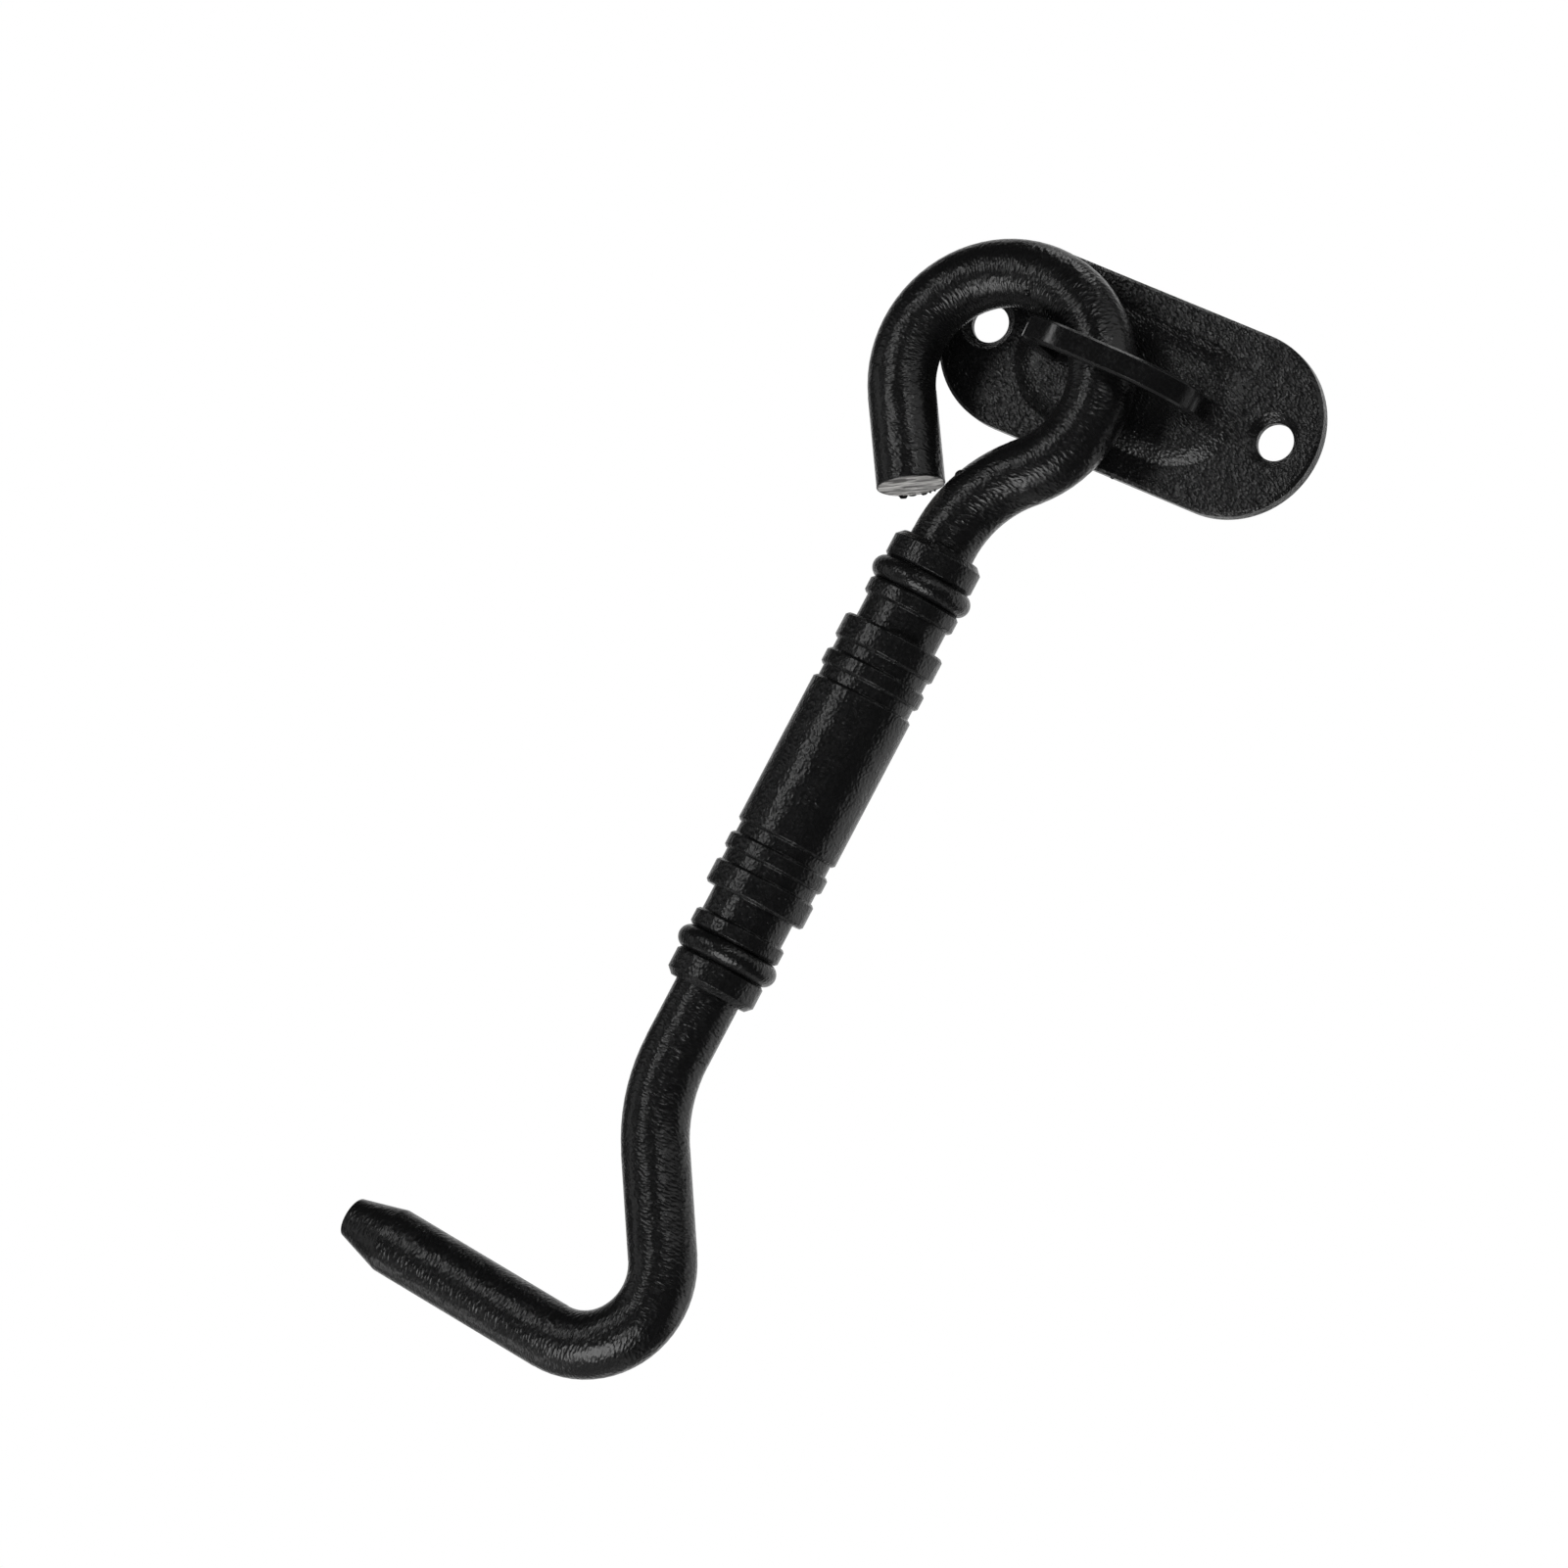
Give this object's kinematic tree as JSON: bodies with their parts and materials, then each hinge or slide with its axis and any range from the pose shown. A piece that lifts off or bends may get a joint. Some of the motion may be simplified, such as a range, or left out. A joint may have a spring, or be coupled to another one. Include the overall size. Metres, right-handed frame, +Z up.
{
  "type": "cabin hook",
  "caption": "Bent steel cabin hook with a turned grip sleeve, swinging from a bow riveted to a screw-on eye plate.",
  "frame": {"origin": "midway between the two screw holes of the eye plate, on the plate's back face (the wall)", "axes": "+X along the plate, +Z up, +Y into the wall; the front of the plate and the hook look toward -Y, and the hook hangs toward -Z with its prong toward -X"},
  "size_m": [0.0697, 0.0157, 0.1523],
  "materials": {
    "plate_coat": "satin black powder coat, fine pebbled texture",
    "bow_coat": "satin black powder coat",
    "rod_coat": "satin black powder coat, fine wrinkles across the rod",
    "sleeve_coat": "satin black powder coat"
  },
  "bodies": {
    "eye_plate": {"back_plate": "plate_coat", "staple_bow": "bow_coat"},
    "hook": {"hook_rod": "rod_coat", "grip_sleeve": "sleeve_coat"}
  },
  "joints": [
    {"name": "hook_swing", "type": "hinge", "parent": "eye_plate", "child": "hook", "pos_m": [-0.0129, -0.00845, -0.00623], "axis": [0, -1, 0], "range_deg": [-195, 67]}
  ]
}
